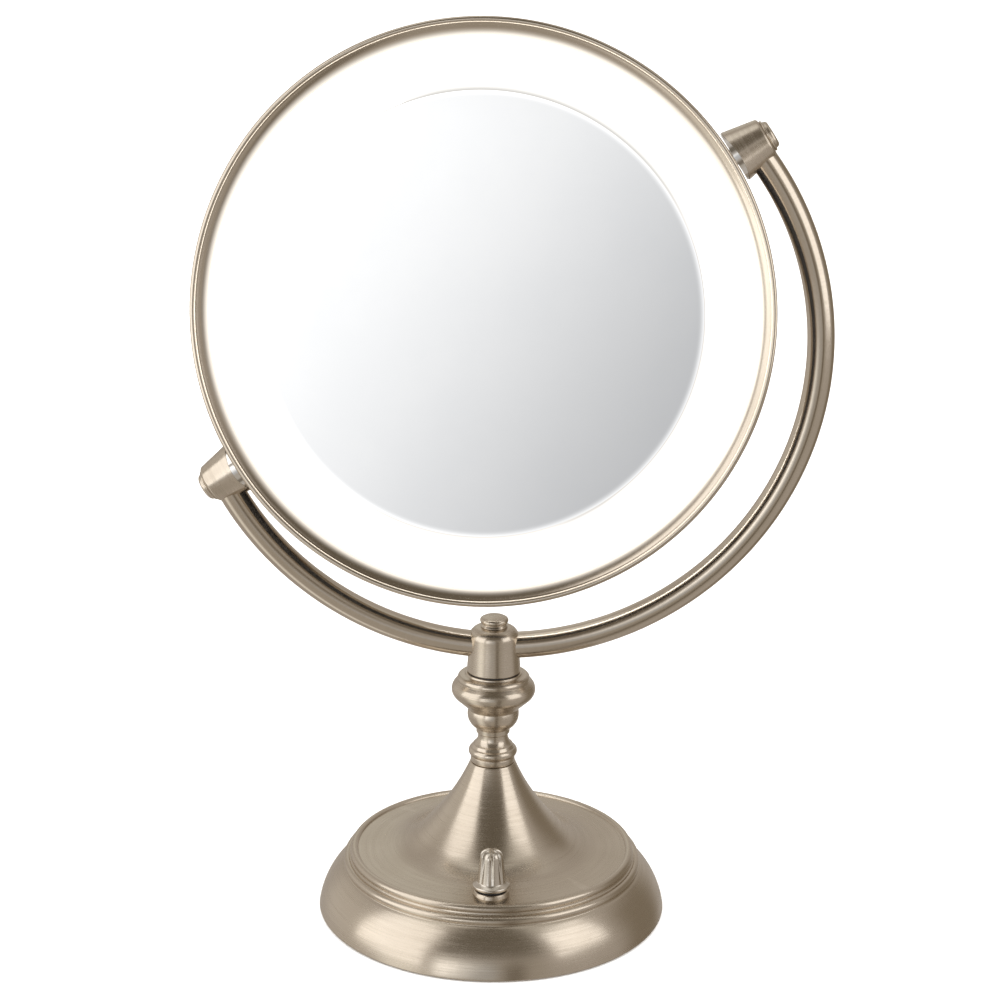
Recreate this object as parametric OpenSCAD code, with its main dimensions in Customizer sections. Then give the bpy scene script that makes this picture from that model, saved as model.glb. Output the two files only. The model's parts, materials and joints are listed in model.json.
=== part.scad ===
// Lighted vanity mirror for a table. A round two-sided head with a ring of LEDs turns about a
// slanting axis between the two knuckles of a C-shaped arm, on a turned post and a weighted base.
// Millimetres, +Z up, the viewer stands at -Y, and the origin is the centre of the resting face.

/* [Base] */
// Diameter of the base over its skirt
base_d = 135.6; // [132:0.2:140]
// Height of the plate at the foot of the flare
plate_z = 25; // [24.8:0.1:25.6]
// Slope of the plate, in degrees
plate_slope = 6; // [5:0.5:7]
// Height of the flare's top face
flare_top_z = 60.2; // [60:0.1:60.6]
// Radius of the flare at its top face
flare_top_r = 8.8; // [8.6:0.1:9.2]
// Wall of the spun base shell
shell_t = 1.3; // [1.1:0.1:1.5]

/* [Dimmer] */
// Distance of the dimmer's axis in front of the post
knob_y = 42.6; // [42:0.1:43]
// Diameter of the knob's flange
knob_flange_d = 14.4; // [13:0.2:14.6]
// Diameter of the knob's body at its foot
knob_body_d = 10.8; // [9.6:0.2:11.2]
// Height of the knob's top
knob_top_z = 42.3; // [40:0.5:45]

/* [Post] */
// Height of the joint between the turned post and the bell
post_top_z = 97.3; // [97:0.1:97.6]
// Largest radius of the post's collar
collar_r = 16.2; // [15.6:0.1:16.8]
// Diameter of the threaded pipe inside the post
pipe_d = 8; // [7.6:0.1:8.4]

/* [Arm] */
// Outer diameter of the arm's tube
tube_d = 10.2; // [9.4:0.1:10.4]
// Wall of the arm's tube
tube_t = 1.2; // [1:0.1:1.6]
// Height of the tube's centreline in the bell
tube_z = 108; // [107.6:0.1:108.4]
// Sideways shift of the arm's arc from the post
arm_x = 2.8; // [-3:0.1:3.2]
// Distance from the arc's centre to the pivot axis
pivot_offset = 15; // [12:0.5:18]
// Angle of the pivot axis above the horizontal
pivot_angle = 33.2; // [25:0.1:40]

/* [Head] */
// Diameter of the head over its bezels
head_d = 216; // [210:1:218]
// Lean of the head about the pivot axis, 0 when it is in the arm's plane
head_tilt = 10.2; // [-30:0.1:30]
// Diameter of the silvered disc
mirror_d = 168.4; // [160:0.2:170]
// Width that the bezel covers inside the head's outer edge
bezel_w = 6.8; // [6.4:0.1:7.4]
// Height of the mirror's face above the head's middle plane
mirror_face = 10.4; // [10.2:0.1:10.6]
// Radius of curvature of the magnifying mirror
magnifier_r = 800; // [700:50:1200]
// Number of LEDs on each face of the board
led_count = 36; // [24:4:48]

/* [Hidden] */

$fn = 96;
LEFT = -1;
RIGHT = 1;
nickel = [0.72, 0.66, 0.58];
chrome = [0.88, 0.88, 0.88];
steel = [0.6, 0.6, 0.62];
brass = [0.8, 0.66, 0.32];
black = [0.08, 0.08, 0.08];
white = [0.93, 0.93, 0.92];
green = [0.1, 0.4, 0.22];

// Clearance of parts that fit, on the radius
fit = 0.05;
// Gap between parts that rest face to face
seat = 0.02;
// How far a cutting shape runs past the face it cuts
past = 1;

// Base
base_r = base_d / 2;
flare_angle = 67.4;     // slope of the flare at its top
flare_mid = 44;         // slope where its large arc meets its small one
flare_r1 = 85;
flare_c1 = [flare_top_r + flare_r1 * sin(flare_angle), flare_top_z + flare_r1 * cos(flare_angle)];
flare_joint = flare_c1 - flare_r1 * [sin(flare_mid), cos(flare_mid)];
flare_r2 = (flare_joint[1] - plate_z) / (cos(plate_slope) - cos(flare_mid));
flare_c2 = flare_joint + flare_r2 * [sin(flare_mid), cos(flare_mid)];
plate_r = flare_c2[0] - flare_r2 * sin(plate_slope);
bead_r = 1.7;
bead1 = [base_r - 13.9, 23.2];
bead2 = [base_r - 11.3, 19.5];
skirt_top = [base_r - 9.2, 17.5];
skirt_foot = [base_r, 0.9];
skirt_bulge = 1.7;
shell_top_t = 2.6;

// Bottom
pad_t = 1.4;
floor_t = 1.5;
floor_top = pad_t + floor_t;
weight_r = 54;
weight_top = 15;
screw_spread_r = 40;
screw_angles = [10, 90, 170];
screw_r = 2;
screw_head_r = 3.95;
screw_head_h = 1.3;

// Electronics
board_size = [44, 26, 1.6];
board_y = -41;
board_z = 8;
board_top = board_z + board_size[2] + seat;
board_holes = [for (x = [-18, 18], y = [-9, 9]) [x, board_y + y]];
board_hole_r = 1.35;
collar_hole_r = 5.4;
collar_z = 20.8;
flange_z = 27.1;        // underside of the knob's flange
shaft_r = 3;
shaft_foot_z = 12.1;
shaft_top_z = 38.1;
shaft_flat = 1.5;       // from the shaft's axis to its flat
inlet_z = 9.3;
inlet_r = 5;
inlet_face_y = 65.2;
inlet_back_y = 46;
inlet_pin_r = 1.05;
socket_r = 3.2;
lead_z = 4.5;
lead_r = 1.1;
supply_x = -6.5;

// Post and bell
pipe_hole_r = pipe_d / 2 + 0.2;
pipe_foot_z = 6.3;
pipe_head_z = 101.3;
pipe_nut_z = 6.6;
pipe_nut_h = 3.5;
pipe_washer_z = pipe_nut_z + pipe_nut_h + 0.1;
pipe_washer_top = pipe_washer_z + 1.3;
post_foot_z = flare_top_z + 0.1;
bell_z = post_top_z + 0.4;
bell_shoulder_z = 111.4;
bell_shoulder_r = 4.1;
bell_top_z = bell_shoulder_z + bell_shoulder_r;

// Arm and pivots. Distances along the pivot axis are from the head's centre.
head_r = head_d / 2;
tube_r = tube_d / 2;
tube_s = head_r + 8.24;
arm_r = norm([tube_s, pivot_offset]);
arm_c = [arm_x, 0, tube_z + sqrt(pow(arm_r, 2) - pow(arm_x, 2))];
pivot_up = [-sin(pivot_angle), 0, cos(pivot_angle)];
head_c = arm_c + pivot_offset * pivot_up;
tube_end_gap = 6;       // from the pivot axis to the tube's end
arm_skew = atan2(pivot_offset, tube_s) - asin(tube_end_gap / arm_r);
arm_start = pivot_angle - 180 - arm_skew;
arm_stop = pivot_angle + arm_skew;
knuckle_in = head_r + 0.6;
knuckle_out = head_r + 14.1;
knuckle_in_r = 10;
knuckle_out_r = 7.6;
saddle_r = 30;
saddle_s = head_r + 2.3;
cavity_s = head_r + 3.6;
cavity_r = 5.5;
stud_r = 3.2;
stud_bore_r = 1.7;

// Head: radii from its centre, heights from its middle plane
band_r = head_r - 1.6;
band_t = 1.1;
band_h = 8.9;
lip_r = 1.1;
lip_z = 10.6;
glass_t = 3;
chamber_r = head_r - bezel_w + 3.6;
mirror_r = mirror_d / 2;
dish_r = mirror_r - 1;
diffuser_z = 6;
diffuser_t = 2.8;

// Points of an arc about centre c from angle a0 to angle a1
function arc(c, r, a0, a1, n = 8) =
    [for (i = [0 : n]) c + r * [cos(a0 + (a1 - a0) * i / n), sin(a0 + (a1 - a0) * i / n)]];

// Points of a shallow curve from a to b that stands b_out proud of the straight line between them
function bulged(a, b, b_out, n = 10) =
    let (d = (b - a) / norm(b - a))
    [for (i = [0 : n]) a + (b - a) * i / n + [-d[1], d[0]] * b_out * 4 * i / n * (1 - i / n)];

module turned(outline) rotate_extrude() polygon(outline);

module tube(r_out, r_in, h) {
    difference() {
        cylinder(r = r_out, h = h);
        translate([0, 0, -past]) cylinder(r = r_in, h = h + 2 * past);
    }
}

module hex_nut(across_flats, bore_r, h) {
    difference() {
        cylinder(d = across_flats / cos(30), h = h, $fn = 6);
        translate([0, 0, -past]) cylinder(r = bore_r, h = h + 2 * past);
    }
}

// Local x runs along the pivot axis to the right, local y up the arm's plane, local z to the viewer
module arm_plane() translate(head_c) rotate([0, -pivot_angle, 0]) rotate([90, 0, 0]) children();

// The same with the head's lean: local z is the mirror's normal
module head_frame() arm_plane() rotate([-head_tilt, 0, 0]) children();

// Local z runs outwards along the pivot axis from the head's centre, on the left or the right side
module pivot_frame(side) arm_plane() rotate([0, side * 90, 0]) children();

// The same, turned with the head
module stud_frame(side) head_frame() rotate([0, side * 90, 0]) children();

module arm_sweep(a0, a1) {
    translate(arm_c) rotate([90, 0, 0]) rotate([0, 0, a0]) rotate_extrude(angle = a1 - a0)
        translate([arm_r, 0]) children();
}

module front_and_back(side) mirror([0, 0, side > 0 ? 0 : 1]) children();

// ---- Base ----

function flare_points(t, from_angle) = concat(
    arc(flare_c1, flare_r1 + t, 270 - from_angle, 270 - flare_mid, 12),
    arc(flare_c2, flare_r2 + t, 270 - flare_mid + 2, 270 - plate_slope, 12));

function plate_height(r) = plate_z - tan(plate_slope) * (r - plate_r);

module base_shell() {
    hem = 0.4;              // height of the skirt's lower edge above the table
    hem_in = [base_r - shell_t - 0.3, hem + 0.8];
    plate_edge = bead1[0] - 1.4;
    inner_edge = plate_edge - 0.5;
    inside_top = flare_top_z - shell_top_t;
    inside_angle = acos((flare_c1[1] - inside_top) / (flare_r1 + shell_t));
    outside = concat(
        [[0, hem], [0, flare_top_z]],
        flare_points(0, flare_angle),
        [[plate_edge, plate_height(plate_edge)]],
        arc(bead1, bead_r, 140, -40, 10),
        [bead1 + [1.45, -1.8]],
        arc(bead2, bead_r, 110, -35, 10),
        [bead2 + [1.4, -1.6]],
        bulged(skirt_top, skirt_foot, skirt_bulge),
        [skirt_foot - [0.3, 0.45], skirt_foot - [0.7, 0.5]]);
    inside = concat(
        [[0, -past], [0, inside_top]],
        flare_points(shell_t, inside_angle),
        [[inner_edge, plate_height(inner_edge) - shell_t], bead2 - [1.9, 1.1]],
        bulged(skirt_top - [1.9, 0.9], hem_in, skirt_bulge),
        [[hem_in[0], -past]]);
    color(nickel) difference() {
        turned(outside);
        turned(inside);
        cylinder(r = pipe_hole_r, h = flare_top_z + past);
        translate([0, -knob_y, collar_z]) cylinder(r = collar_hole_r, h = 12);
        translate([0, inlet_face_y - 15, inlet_z]) rotate([-90, 0, 0])
            cylinder(r = inlet_r + 2 * fit, h = 30);
    }
}

module at_screws(z) {
    for (a = screw_angles) rotate([0, 0, a]) translate([screw_spread_r, 0, z]) children();
}

// A cast disc with a bay for the electronics in front, one for the inlet behind, and a channel
// between them for the lead
module base_weight() {
    channel_w = 18;
    channel_top = 8;
    nut_pocket_r = 11;
    color([0.25, 0.25, 0.26]) difference() {
        translate([0, 0, floor_top + fit]) cylinder(r = weight_r, h = weight_top - floor_top);
        cylinder(r = pipe_hole_r, h = weight_top + past);
        translate([0, 0, floor_top - past])
            cylinder(r = nut_pocket_r, h = pipe_washer_top - floor_top + past);
        translate([-30, -60, 0]) cube([60, 40, 30]);
        translate([-channel_w / 2, -30, 0]) cube([channel_w, 90, channel_top]);
        translate([-channel_w / 2, 42, 0]) cube([channel_w, 20, 30]);
        at_screws(0) cylinder(r = screw_r + fit, h = 13, $fn = 32);
    }
}

module bottom_plate() {
    color(steel) translate([0, 0, pad_t]) difference() {
        cylinder(r = base_r - 3.4, h = floor_t);
        at_screws(-past) cylinder(r = screw_r + 0.3, h = floor_t + 2 * past, $fn = 32);
        at_screws(-fit) cylinder(r1 = screw_head_r + 0.15, r2 = screw_r + 0.3, h = screw_head_h, $fn = 32);
    }
}

module foot_pad() {
    color(black) cylinder(r = base_r - 3.2, h = pad_t - seat);
}

module bottom_screws() {
    color(steel) at_screws(pad_t) union() {
        cylinder(r1 = screw_head_r, r2 = screw_r, h = screw_head_h, $fn = 32);
        cylinder(r = screw_r, h = 10.5, $fn = 32);
    }
}

// ---- Electronics and dimmer ----

module at_board_holes(z) {
    for (p = board_holes) translate([p[0], p[1], z]) children();
}

module driver_board() {
    color(green) difference() {
        translate([-board_size[0] / 2, board_y - board_size[1] / 2, board_z]) cube(board_size);
        at_board_holes(board_z - past) cylinder(r = board_hole_r, h = board_size[2] + 2 * past, $fn = 32);
    }
}

// A capacitor, a choke, a rectifier and the lead's terminal block
module driver_components() {
    color(black) {
        translate([-14.5, board_y, board_top]) cylinder(r = 4, h = 9);
        translate([14, board_y - 3, board_top]) cylinder(r = 3.6, h = 5);
        translate([9.5, board_y + 4, board_top]) cube([5.5, 4, 2]);
        translate([-7, board_y + 8.5, board_top]) cube([10, 4, 3]);
    }
}

module board_standoffs() {
    h = board_z - floor_top - 2 * seat;
    color(brass) at_board_holes(floor_top + seat) tube(2.6, board_hole_r - 0.1, h);
}

module board_screws() {
    shank_foot = 5;
    color(steel) union() {
        at_board_holes(shank_foot)
            cylinder(r = board_hole_r - 0.15, h = board_top - shank_foot + 0.1, $fn = 32);
        at_board_holes(board_top) cylinder(r = 2.2, h = 1.5, $fn = 32);
    }
}

module dimmer_body() {
    color(steel) translate([0, -knob_y, board_top]) difference() {
        union() {
            cylinder(r = 8.2, h = collar_z - board_top - seat);
            translate([-6, -10.4, 0]) cube([12, 8, 3]);
        }
        translate([0, 0, 2]) cylinder(r = shaft_r + fit, h = 20);
    }
}

module dimmer_collar() {
    gap_to_knob = 0.4;
    color(black) translate([0, -knob_y, collar_z]) difference() {
        union() {
            cylinder(r = 9, h = 1.5);
            cylinder(r = collar_hole_r - 0.1, h = flange_z - gap_to_knob - collar_z);
        }
        translate([0, 0, -past]) cylinder(r = shaft_r + fit, h = 20);
    }
}

// Round below the knob, with a flat on the side away from the viewer inside it
module dimmer_shaft() {
    color(brass) translate([0, -knob_y, 0]) difference() {
        translate([0, 0, shaft_foot_z]) cylinder(r = shaft_r, h = shaft_top_z - shaft_foot_z);
        translate([-5, shaft_flat, flange_z - 0.2]) cube([10, 10, 20]);
    }
}

module dimmer_knob() {
    flange_h = 1.9;
    top_h = knob_top_z - flange_z;
    foot_r = knob_body_d / 2;
    top_r = foot_r - 1;
    flutes = 8;
    color(nickel) translate([0, -knob_y, flange_z]) difference() {
        turned(concat(
            [[0, 0], [knob_flange_d / 2 - 0.3, 0]],
            arc([knob_flange_d / 2 - 0.7, 0.8], 0.7, -20, 60, 4),
            [[foot_r + 0.5, flange_h], [foot_r, flange_h + 0.5], [top_r, top_h - 3.6]],
            arc([top_r - 3, top_h - 3.4], 3, 10, 75, 5),
            [[0, top_h]]));
        translate([0, 0, -past]) intersection() {
            cylinder(r = shaft_r + fit, h = shaft_top_z - flange_z + 0.8 + past);
            translate([-5, -10, 0]) cube([10, 10 + shaft_flat + fit, 20]);
        }
        for (i = [0 : flutes - 1]) rotate([0, 0, i * 360 / flutes])
            translate([top_r + 0.6, 0, top_h - 5]) rotate([0, -28, 0]) cylinder(r = 1, h = 9, $fn = 24);
    }
}

module power_inlet() {
    color(black) translate([0, inlet_back_y, inlet_z]) rotate([-90, 0, 0]) difference() {
        cylinder(r = inlet_r, h = inlet_face_y - inlet_back_y);
        translate([0, 0, 9]) cylinder(r = socket_r, h = 20);
        translate([0, 0, -past]) cylinder(r = inlet_pin_r + fit, h = 20, $fn = 32);
    }
}

module inlet_pin() {
    color(brass) translate([0, inlet_back_y + 0.5, inlet_z]) rotate([-90, 0, 0])
        cylinder(r = inlet_pin_r, h = 17, $fn = 32);
}

module inlet_nut() {
    color(steel) translate([0, inlet_back_y + 5.5, inlet_z]) rotate([-90, 0, 0])
        tube(inlet_r + 1.3, inlet_r + fit, 3);
}

module supply_lead() {
    color(black) translate([supply_x, -27, lead_z]) rotate([-90, 0, 0])
        cylinder(r = lead_r, h = 72, $fn = 24);
}

module post_lead() {
    color(black) union() {
        translate([0, 0, lead_z]) cylinder(r = lead_r, h = tube_z - tube_r + tube_t + 2 - lead_z, $fn = 24);
        translate([0, 0, lead_z]) sphere(r = lead_r, $fn = 24);
        translate([0, -26, lead_z]) rotate([-90, 0, 0]) cylinder(r = lead_r, h = 26, $fn = 24);
    }
}

// ---- Post, bell and pipe ----

module turned_post() {
    bowl_top_z = 82.6;
    bulge_c = [collar_r - 4.2, 90.2];
    color(nickel) difference() {
        turned(concat(
            [[0, post_foot_z], [8.4, post_foot_z], [8.6, post_foot_z + 0.5], [8.5, 62.6]],
            arc([7.45, 64.6], 2, -65, 65, 8),
            arc([10.3, 71.2], 4.5, 235, 180, 6),
            [[5.8, 72], [6.5, 72.4], [6.5, 73]],
            arc([3.6, 80], 6.4, -62, 20, 9),
            [[9.9, bowl_top_z]],
            arc(bulge_c, 4.2, -50, 40, 9),
            arc([12.3, 94.6], 1.7, -20, 95, 7),
            [[11, 96.6], [10.9, post_top_z], [0, post_top_z]]));
        translate([0, 0, 50]) cylinder(r = pipe_d / 2 + 0.1, h = 60);
    }
}

module post_washer() {
    color(black) translate([0, 0, post_top_z + seat])
        tube(9.9, pipe_d / 2 + 0.1, bell_z - post_top_z - 2 * seat);
}

module threaded_pipe() {
    color(brass) translate([0, 0, pipe_foot_z]) tube(pipe_d / 2, 2.7, pipe_head_z - pipe_foot_z);
}

module pipe_nut() {
    color(brass) translate([0, 0, pipe_nut_z]) hex_nut(13, pipe_d / 2 + fit, pipe_nut_h);
}

module pipe_washer() {
    color(steel) translate([0, 0, pipe_washer_z]) tube(9.5, pipe_hole_r, 1.2);
}

module clamp_bell() {
    color(nickel) difference() {
        turned(concat(
            [[0, bell_z], [10.2, bell_z], [10.4, bell_z + 0.3], [9.75, bell_shoulder_z - 5]],
            arc([5.5, bell_shoulder_z], bell_shoulder_r, 0, 90, 8),
            [[0, bell_top_z]]));
        arm_sweep(-100, -80) circle(r = tube_r + fit);
        translate([0, 0, bell_z - past])
            cylinder(r = pipe_d / 2 + fit, h = pipe_head_z + 0.2 - bell_z + past);
        translate([0, 0, pipe_head_z - past]) cylinder(r = 2.6, h = 6);
        translate([0, 0, tube_z]) cylinder(r = 2 + fit, h = 20);
    }
}

module clamp_finial() {
    z = bell_top_z + seat;
    color(nickel) union() {
        turned([
            [0, z], [5.1, z], [5.2, z + 0.4], [4.5, z + 1.3], [5.2, z + 1.6], [5.5, z + 2.2],
            [5.5, z + 3], [5.1, z + 3.6], [4.2, z + 4], [0, z + 4.1]]);
        translate([0, 0, tube_z + tube_r + fit]) cylinder(r = 2, h = z - tube_z - tube_r + 0.5);
    }
}

// ---- Arm and pivots ----

module support_arm() {
    color(nickel) difference() {
        arm_sweep(arm_start, arm_stop) difference() {
            circle(r = tube_r);
            circle(r = tube_r - tube_t);
        }
        translate([0, 0, tube_z - tube_r - 2]) cylinder(r = 2.4, h = 5);
    }
}

module arm_lead() {
    color(black) arm_sweep(-86, arm_stop - 1) circle(r = 1.6, $fn = 24);
}

module knuckle(side) {
    round_r = 1.3;
    color(nickel) difference() {
        pivot_frame(side) turned(concat(
            [[0, knuckle_in], [knuckle_in_r, knuckle_in]],
            arc([knuckle_out_r - round_r, knuckle_out - round_r], round_r, 5, 90, 6),
            [[0, knuckle_out]]));
        arm_plane() translate([side * (saddle_s - saddle_r), 0, -20])
            cylinder(r = saddle_r, h = 40, $fn = 180);
        pivot_frame(side) cylinder(r = stud_r + fit, h = knuckle_out);
        pivot_frame(side) translate([0, 0, cavity_s]) cylinder(r = cavity_r, h = 20);
        arm_sweep(side == RIGHT ? -20 : arm_start, side == RIGHT ? arm_stop : -140)
            circle(r = tube_r + fit);
        arm_sweep(side == RIGHT ? arm_stop - 5 : arm_start - 2, side == RIGHT ? arm_stop + 2 : arm_start + 5)
            circle(r = 2.6);
    }
}

module pivot_washer(side) {
    color(chrome) intersection() {
        pivot_frame(side) translate([0, 0, head_r + 0.15]) tube(9.6, stud_r + 0.1, 4);
        arm_plane() translate([side * (saddle_s - saddle_r), 0, -20])
            cylinder(r = saddle_r - seat, h = 40, $fn = 180);
    }
}

module friction_washer(side) {
    s = cavity_s + seat;
    color(steel) pivot_frame(side) difference() {
        union() {
            translate([0, 0, s]) cylinder(r1 = 5.3, r2 = 4.4, h = 1);
            translate([0, 0, s + 1]) cylinder(r1 = 4.4, r2 = 5.3, h = 1);
        }
        translate([0, 0, s - past]) cylinder(r = stud_r + 0.1, h = 5);
    }
}

module knuckle_cap(side) {
    s = knuckle_out + seat;
    color(nickel) pivot_frame(side) turned(concat(
        [[0, s - 2.4], [cavity_r - fit, s - 2.4], [cavity_r - fit, s]],
        [[6, s], [6.2, s + 0.4], [6, s + 0.8], [5.4, s + 0.95]],
        arc([3.9, s + 1.2], 1.4, 0, 75, 6),
        [[0, s + 2.65]]));
}

module pivot_stud(side) {
    color(chrome) stud_frame(side) difference() {
        union() {
            translate([0, 0, head_r - 8]) cylinder(r = stud_r, h = 19.5);
            translate([0, 0, band_r + 0.05]) cylinder(r = 5.8, h = head_r - band_r - 0.15);
        }
        translate([0, 0, head_r - 8 - past]) cylinder(r = stud_bore_r, h = 30, $fn = 32);
    }
}

module stud_nut(side) {
    color(brass) stud_frame(side) translate([0, 0, head_r - 6.6]) hex_nut(9, stud_r + fit, 3);
}

module lock_nut(side) {
    color(brass) stud_frame(side) translate([0, 0, cavity_s + 2.1]) hex_nut(9, stud_r + fit, 3.4);
}

// ---- Head ----

// A rolled lip, and inside it a cove that flattens out towards the diffuser
module bezel(side) {
    lip_c = [head_r - lip_r, lip_z];
    edge_r = head_r - bezel_w;
    edge_top = 9.45;
    cove_r = 8;
    cove_c = [edge_r - 0.25, edge_top + cove_r];
    color(nickel) head_frame() front_and_back(side) turned(concat(
        [[band_r + 0.1, 6], [head_r - 0.6, 6], [head_r - 0.6, lip_z - 0.9]],
        arc(lip_c, lip_r, -35, 160, 9),
        arc(cove_c, cove_r, -56, -87, 8),
        [[edge_r, edge_top - 0.1], [edge_r, band_h + 0.2], [edge_r + 0.3, band_h + 0.05],
         [band_r + 0.1, band_h + 0.05]]));
}

module head_band() {
    color(black) head_frame() difference() {
        translate([0, 0, -band_h]) tube(band_r, band_r - band_t, 2 * band_h);
        for (side = [LEFT, RIGHT]) rotate([0, side * 90, 0])
            translate([0, 0, band_r - 8]) cylinder(r = stud_r + fit, h = 20);
    }
}

// A moulded drum with a web across its middle and a flange that carries the LED board.
// Its rear edge stops short of the dished back of the magnifying mirror.
module mirror_chassis() {
    wall_r = mirror_r - 0.3;
    wall_t = 2.2;
    front_h = mirror_face - glass_t - fit;
    rear_h = front_h - dish_depth(wall_r - wall_t) - fit;
    color(white) head_frame() union() {
        translate([0, 0, -rear_h]) tube(wall_r, wall_r - wall_t, front_h + rear_h);
        translate([0, 0, -1]) cylinder(r = wall_r - 1, h = 2);
        translate([0, 0, -1]) tube(wall_r + 3, wall_r - 1, 0.5);
    }
}

module front_mirror() {
    color([0.85, 0.88, 0.9]) head_frame() turned([
        [0, mirror_face - glass_t], [mirror_r, mirror_face - glass_t], [mirror_r, mirror_face - 1],
        [mirror_r - 2.4, mirror_face], [0, mirror_face]]);
}

// Depth of the magnifying mirror's dish at radius r
function dish_depth(r) = (pow(dish_r, 2) - pow(r, 2)) / (2 * magnifier_r);

module rear_mirror() {
    steps = 12;
    radii = [for (i = [0 : steps]) dish_r * i / steps];
    color([0.85, 0.88, 0.9]) head_frame() front_and_back(LEFT) turned(concat(
        [for (r = radii) [r, mirror_face - glass_t - dish_depth(r)]],
        [[mirror_r, mirror_face - glass_t], [mirror_r, mirror_face - 0.6]],
        [for (i = [steps : -1 : 0]) [radii[i], mirror_face - dish_depth(radii[i])]]));
}

module diffuser(side) {
    color([0.98, 0.98, 0.96]) head_frame() front_and_back(side)
        translate([0, 0, diffuser_z]) tube(chamber_r, mirror_r + 0.2, diffuser_t);
}

module led_board() {
    color(green) head_frame() translate([0, 0, -0.45]) difference() {
        tube(chamber_r - 8, mirror_r + 0.1, 1.2);
        rotate([0, 0, 90]) translate([mirror_r + 8, 0, -past]) cylinder(r = 1.2, h = 5, $fn = 24);
    }
}

module leds(side) {
    z = side > 0 ? 0.77 : 0.47;
    color([1, 0.95, 0.7]) head_frame() front_and_back(side) for (i = [0 : led_count - 1])
        rotate([0, 0, (i + 0.5) * 360 / led_count]) translate([mirror_r + 4, -1.5, z]) cube([3, 3, 0.9]);
}

module head_lead() {
    color(black) head_frame() rotate([0, 0, 4]) rotate_extrude(angle = 60)
        translate([head_r - 9.5, -3]) circle(r = lead_r, $fn = 24);
}

base_shell();
base_weight();
bottom_plate();
foot_pad();
bottom_screws();
driver_board();
driver_components();
board_standoffs();
board_screws();
dimmer_body();
dimmer_collar();
dimmer_shaft();
dimmer_knob();
power_inlet();
inlet_pin();
inlet_nut();
supply_lead();
post_lead();
turned_post();
post_washer();
threaded_pipe();
pipe_nut();
pipe_washer();
clamp_bell();
clamp_finial();
support_arm();
arm_lead();
knuckle(LEFT);  // knuckle_left
knuckle(RIGHT);  // knuckle_right
knuckle_cap(LEFT);  // knuckle_cap_left
knuckle_cap(RIGHT);  // knuckle_cap_right
pivot_washer(LEFT);  // pivot_washer_left
pivot_washer(RIGHT);  // pivot_washer_right
friction_washer(LEFT);  // friction_washer_left
friction_washer(RIGHT);  // friction_washer_right
bezel(RIGHT);  // front_bezel
bezel(LEFT);  // rear_bezel
head_band();
mirror_chassis();
front_mirror();
rear_mirror();
diffuser(RIGHT);  // front_diffuser
diffuser(LEFT);  // rear_diffuser
led_board();
leds(RIGHT);  // front_leds
leds(LEFT);  // rear_leds
head_lead();
pivot_stud(LEFT);  // pivot_stud_left
pivot_stud(RIGHT);  // pivot_stud_right
stud_nut(LEFT);  // stud_nut_left
stud_nut(RIGHT);  // stud_nut_right
lock_nut(LEFT);  // lock_nut_left
lock_nut(RIGHT);  // lock_nut_right
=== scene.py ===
"""The looks of a lighted vanity mirror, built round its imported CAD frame. Metres, +Z up, viewer at -Y.

Profiles are lists of (radius, height) in millimetres, turned about an object's own Z axis.
"""

import json
import math

import bpy
from mathutils import Matrix, Vector


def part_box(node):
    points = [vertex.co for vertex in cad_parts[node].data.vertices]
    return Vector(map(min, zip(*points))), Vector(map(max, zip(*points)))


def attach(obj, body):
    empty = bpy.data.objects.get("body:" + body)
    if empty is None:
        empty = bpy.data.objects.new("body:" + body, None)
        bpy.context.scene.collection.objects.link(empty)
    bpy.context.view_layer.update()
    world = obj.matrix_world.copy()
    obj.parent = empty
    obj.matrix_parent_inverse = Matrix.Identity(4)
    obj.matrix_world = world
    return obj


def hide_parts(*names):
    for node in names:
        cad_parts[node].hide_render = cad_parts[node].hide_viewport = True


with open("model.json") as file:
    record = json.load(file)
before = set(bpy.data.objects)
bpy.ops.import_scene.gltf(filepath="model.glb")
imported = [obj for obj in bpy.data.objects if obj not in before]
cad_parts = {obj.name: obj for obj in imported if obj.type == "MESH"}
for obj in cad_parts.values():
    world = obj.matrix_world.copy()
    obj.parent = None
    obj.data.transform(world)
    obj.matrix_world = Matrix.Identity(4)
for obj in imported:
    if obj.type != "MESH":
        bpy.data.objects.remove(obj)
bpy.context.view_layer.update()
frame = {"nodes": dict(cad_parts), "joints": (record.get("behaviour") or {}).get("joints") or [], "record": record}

MM = 0.001
SEGMENTS = 192

# ---- Where things are, from the frame ----

joints = {j["name"]: j for j in frame["joints"]}
HEAD_C = Vector(joints["head_tilt"]["pos_m"]) / MM
PIVOT_X = Vector(joints["head_tilt"]["axis"]).normalized()
KNOB_C = Vector(joints["dimmer_turn"]["pos_m"]) / MM
HEAD_TILT = math.radians(10.2)
BASE_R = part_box("base_shell")[1].x / MM
FLARE_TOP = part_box("base_shell")[1].z / MM
POST_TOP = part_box("turned_post")[1].z / MM
HEAD_R = 108.0  # outside of the bezels
MIRROR_R = 84.2
MIRROR_FACE = 10.4  # front of the glass, from the middle of the head
EDGE_R = HEAD_R - 6.8  # inner edge of a bezel
BAND_R = HEAD_R - 1.6  # outside of the side band
TUBE_R = 5.1
TUBE_S = HEAD_R + 8.24  # from the head's centre along the pivot axis to the middle of the tube
PIVOT_OFFSET = 15.0  # from the pivot axis down to the arm's centre
ARM_R = math.hypot(TUBE_S, PIVOT_OFFSET)
PIVOT_ANGLE = math.atan2(PIVOT_X.z, PIVOT_X.x)
ARM_UP = Vector((-math.sin(PIVOT_ANGLE), 0, math.cos(PIVOT_ANGLE)))
ARM_C = HEAD_C - PIVOT_OFFSET * ARM_UP
VIEWER = Vector((0, -1, 0))


def axes_matrix(x, y, z, origin):
    """Object matrix whose local axes are x, y, z, at an origin in millimetres."""
    m = Matrix((x, y, z)).transposed().to_4x4()
    m.translation = Vector(origin) * MM
    return m


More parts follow.
